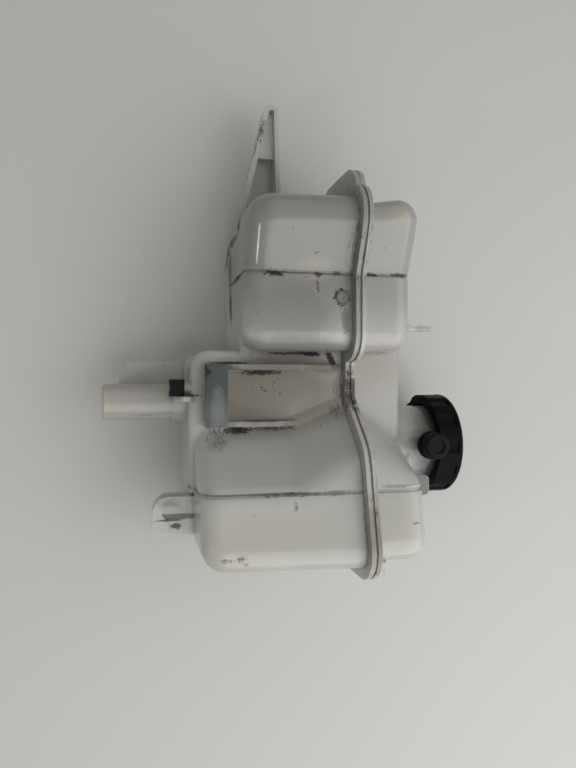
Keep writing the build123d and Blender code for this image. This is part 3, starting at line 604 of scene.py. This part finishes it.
def valveMetal(name):
    s = metalSettings[name]
    material, tree, shader, place = newMaterial(name, {"Metallic": 1.0})
    skin = useGroup(tree, skinGroup, {"Place": place, "Wave": metalSkin["wave"], "Tooth": metalSkin["tooth"]})
    crease = useGroup(tree, creaseGroup, {"Place": place, "Reach": metalSkin["crease"]})
    colour = tint(tree, skin["Cloud"], s["base"], s["dark"])
    colour = tint(tree, crease["Mask"], colour, s["dark"])
    tree.links.new(colour, shader.inputs["Base Color"])
    addRoughness(tree, shader, skin["Cloud"], s)
    addBump(tree, shader, skin["Height"], metalSkin["bump"])
    return material


lowerFinish = tankMaterial("tankLower", lowerPatches, lowerSpecks, lowerRuns)
upperFinish = tankMaterial("tankUpper", upperPatches, upperSpecks, upperRuns)
capFinish = blackPlastic()
rubberFinish = blackRubber()
steelFinish = valveMetal("valveSteel")
springFinish = valveMetal("springSteel")
brassFinish = valveMetal("valveBrass")
finishes = {
    "lower_shell": lowerFinish, "upper_shell": upperFinish,
    "filler_cap": capFinish, "valve_guide": capFinish,
    "overflow_plug": rubberFinish, "mount_buffer": rubberFinish,
    "cap_gasket": rubberFinish, "pressure_gasket": rubberFinish,
    "pressure_spring": springFinish, "vacuum_spring": springFinish,
    "vacuum_valve": brassFinish, "vacuum_washer": brassFinish,
    "pressure_valve": steelFinish,
}
for name, finish in finishes.items():
    slots = nodes[name].data.materials
    slots.clear()
    slots.append(finish)
print("finishes set on", len(finishes), "nodes")


# round wire springs of the cap's valves, in place of the plain coils, each riding on its body

springSettings = {
    "pressureCoil": {
        "node": "pressure_spring", "body": "valve_carrier", "joint": "pressure_open", "travel": 3 * mm,
        "wire": 1.5 * mm, "turns": 3.0, "fixedTop": True,
    },
    "vacuumCoil": {
        "node": "vacuum_spring", "body": "pressure_stage", "joint": "vacuum_open", "travel": 1.5 * mm,
        "wire": 0.5 * mm, "turns": 3.0, "fixedTop": False,
    },
}
coilSteps = 48          # along one turn
wireSides = 12
flatShare = 0.1         # of the wire's length, flat at each end


def coilPath(s, low, high):
    middle = (low + high) / 2
    radius = (high.x - low.x - s["wire"]) / 2
    rise = high.z - low.z - s["wire"]
    steps = int(s["turns"] * coilSteps)
    points = []
    for step in range(steps + 1):
        share = step / steps
        climb = min(max((share - flatShare) / (1 - 2 * flatShare), 0), 1)
        angle = share * s["turns"] * math.tau
        points.append(Vector((
            middle.x + radius * math.cos(angle),
            middle.y + radius * math.sin(angle),
            low.z + s["wire"] / 2 + rise * climb,
        )))
    return points


def wireMesh(name, points, middle, wire):
    last = len(points) - 1
    verts = []
    for step, point in enumerate(points):
        ahead = points[min(step + 1, last)] - points[max(step - 1, 0)]
        out = Vector((point.x - middle.x, point.y - middle.y, 0)).normalized()
        across = ahead.cross(out).normalized()
        for side in range(wireSides):
            turn = math.tau * side / wireSides
            verts.append(point + (out * math.cos(turn) + across * math.sin(turn)) * wire / 2)
    firstEnd = tuple(range(wireSides))[::-1]
    lastEnd = tuple(range(last * wireSides, (last + 1) * wireSides))
    faces = [firstEnd, lastEnd]
    for step in range(last):
        ring = step * wireSides
        nextRing = ring + wireSides
        for side in range(wireSides):
            beside = (side + 1) % wireSides
            faces.append((ring + side, ring + beside, nextRing + beside, nextRing + side))
    mesh = bpy.data.meshes.new(name)
    mesh.from_pydata(verts, [], faces)
    mesh.shade_smooth()
    return mesh


def makeSpring(name, s):
    low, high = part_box(s["node"])
    middle = (low + high) / 2
    mesh = wireMesh(name, coilPath(s, low, high), middle, s["wire"])
    mesh.materials.append(springFinish)
    spring = bpy.data.objects.new(name, mesh)
    scene.collection.objects.link(spring)
    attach(spring, s["body"])
    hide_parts(s["node"])
    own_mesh(spring)


for name, settings in springSettings.items():
    makeSpring(name, settings)
print("springs made:", len(springSettings))


# floor that the tank lies on its back on

floorSettings = {
    "gap": 0.2 * mm,
    "reach": 1.6,
    "colour": rgb(0.5, 0.5, 0.485),
    "cloud": 5.0,
    "bump": {"Strength": 0.05},
    "shader": {"Roughness": 0.9, "Specular IOR Level": 0.2},
}


def makeFloor():
    s = floorSettings
    y = cadHigh.y + s["gap"]
    reach = s["reach"]
    corners = [(-reach, y, -reach), (reach, y, -reach), (reach, y, reach), (-reach, y, reach)]
    mesh = bpy.data.meshes.new("floor")
    mesh.from_pydata(corners, [], [(0, 1, 2, 3)])
    floor = bpy.data.objects.new("floor", mesh)
    scene.collection.objects.link(floor)
    material, tree, shader, place = newMaterial("floorPaper", s["shader"])
    shader.inputs["Base Color"].default_value = s["colour"]
    addBump(tree, shader, noise(tree, place, s["cloud"], detail=3.0)["Fac"], s["bump"])
    # clear from behind, so that the back can be seen, and to the room's light on the back
    behind = put(tree, "NewGeometry").outputs["Backfacing"]
    soft = put(tree, "LightPath").outputs["Is Diffuse Ray"]
    hidden = math2(tree, "MAXIMUM", behind, soft)
    clear = put(tree, "BsdfTransparent")
    mix = put(tree, "MixShader", {0: hidden, 1: shader.outputs[0], 2: clear.outputs[0]})
    tree.links.new(mix.outputs[0], tree.nodes["Material Output"].inputs["Surface"])
    mesh.materials.append(material)


# soft lamps and the room's own light

lampSettings = {
    "windowLight": {"place": (0.36, -0.42, 0.22), "size": 0.95, "power": 3.6},
    "sideLight": {"place": (-0.05, -0.5, 0.6), "size": 0.7, "power": 1.45},
    "fillLight": {"place": (-0.45, -0.36, 0.06), "size": 0.6, "power": 0.28},
    "glintLight": {"place": (0.17, -0.28, -0.5), "size": 0.08, "power": 0.26},
}
roomSettings = {"colour": rgb(1.0, 0.985, 0.955), "strength": 0.38, "seenColour": rgb(0.5, 0.5, 0.485)}


def makeLamp(name, s):
    lamp = bpy.data.lights.new(name, "AREA")
    lamp.shape = "DISK"
    lamp.size = s["size"]
    lamp.energy = s["power"]
    holder = bpy.data.objects.new(name, lamp)
    holder.location = s["place"]
    aim = Vector((cadLow + cadHigh) / 2) - Vector(s["place"])
    holder.rotation_euler = aim.to_track_quat("-Z", "Y").to_euler()
    scene.collection.objects.link(holder)


def makeRoom():
    s = roomSettings
    world = bpy.data.worlds.new("room")
    scene.world = world
    world.use_nodes = True
    tree = world.node_tree
    tree.nodes.clear()
    path = put(tree, "LightPath").outputs
    seen = math2(tree, "MAXIMUM", path["Is Camera Ray"], path["Is Glossy Ray"])
    seen = math2(tree, "MAXIMUM", seen, path["Is Transmission Ray"])
    room = put(tree, "Background", {"Color": s["colour"], "Strength": s["strength"]})
    pale = put(tree, "Background", {"Color": s["seenColour"], "Strength": 1.0})
    mix = put(tree, "MixShader", {0: seen, 1: room.outputs[0], 2: pale.outputs[0]})
    put(tree, "OutputWorld", {"Surface": mix.outputs[0]})


# camera at the photo's angle

cameraSettings = {
    "place": (-7.0, -330.6, -79.4),     # mm
    "tilt": 13.5,                       # degrees up from level towards the cap
    "lens": 30.94,
    "sensor": 36.0,
    "clip": 0.01,
}


def makeCamera():
    s = cameraSettings
    data = bpy.data.cameras.new("camera")
    data.sensor_fit = "AUTO"
    data.sensor_width = s["sensor"]
    data.lens = s["lens"]
    data.clip_start = s["clip"]
    camera = bpy.data.objects.new("camera", data)
    tilt = math.radians(s["tilt"])
    ahead = Vector((0, math.cos(tilt), math.sin(tilt)))
    up = Vector((-1, 0, 0))             # the tank's long side stands upright in the picture
    turn = Matrix((ahead.cross(up), up, -ahead)).transposed()
    camera.matrix_world = Matrix.Translation(Vector(s["place"]) * mm) @ turn.to_4x4()
    scene.collection.objects.link(camera)
    scene.camera = camera


makeFloor()
for name, settings in lampSettings.items():
    makeLamp(name, settings)
makeRoom()
makeCamera()
print("stage, light and camera set")
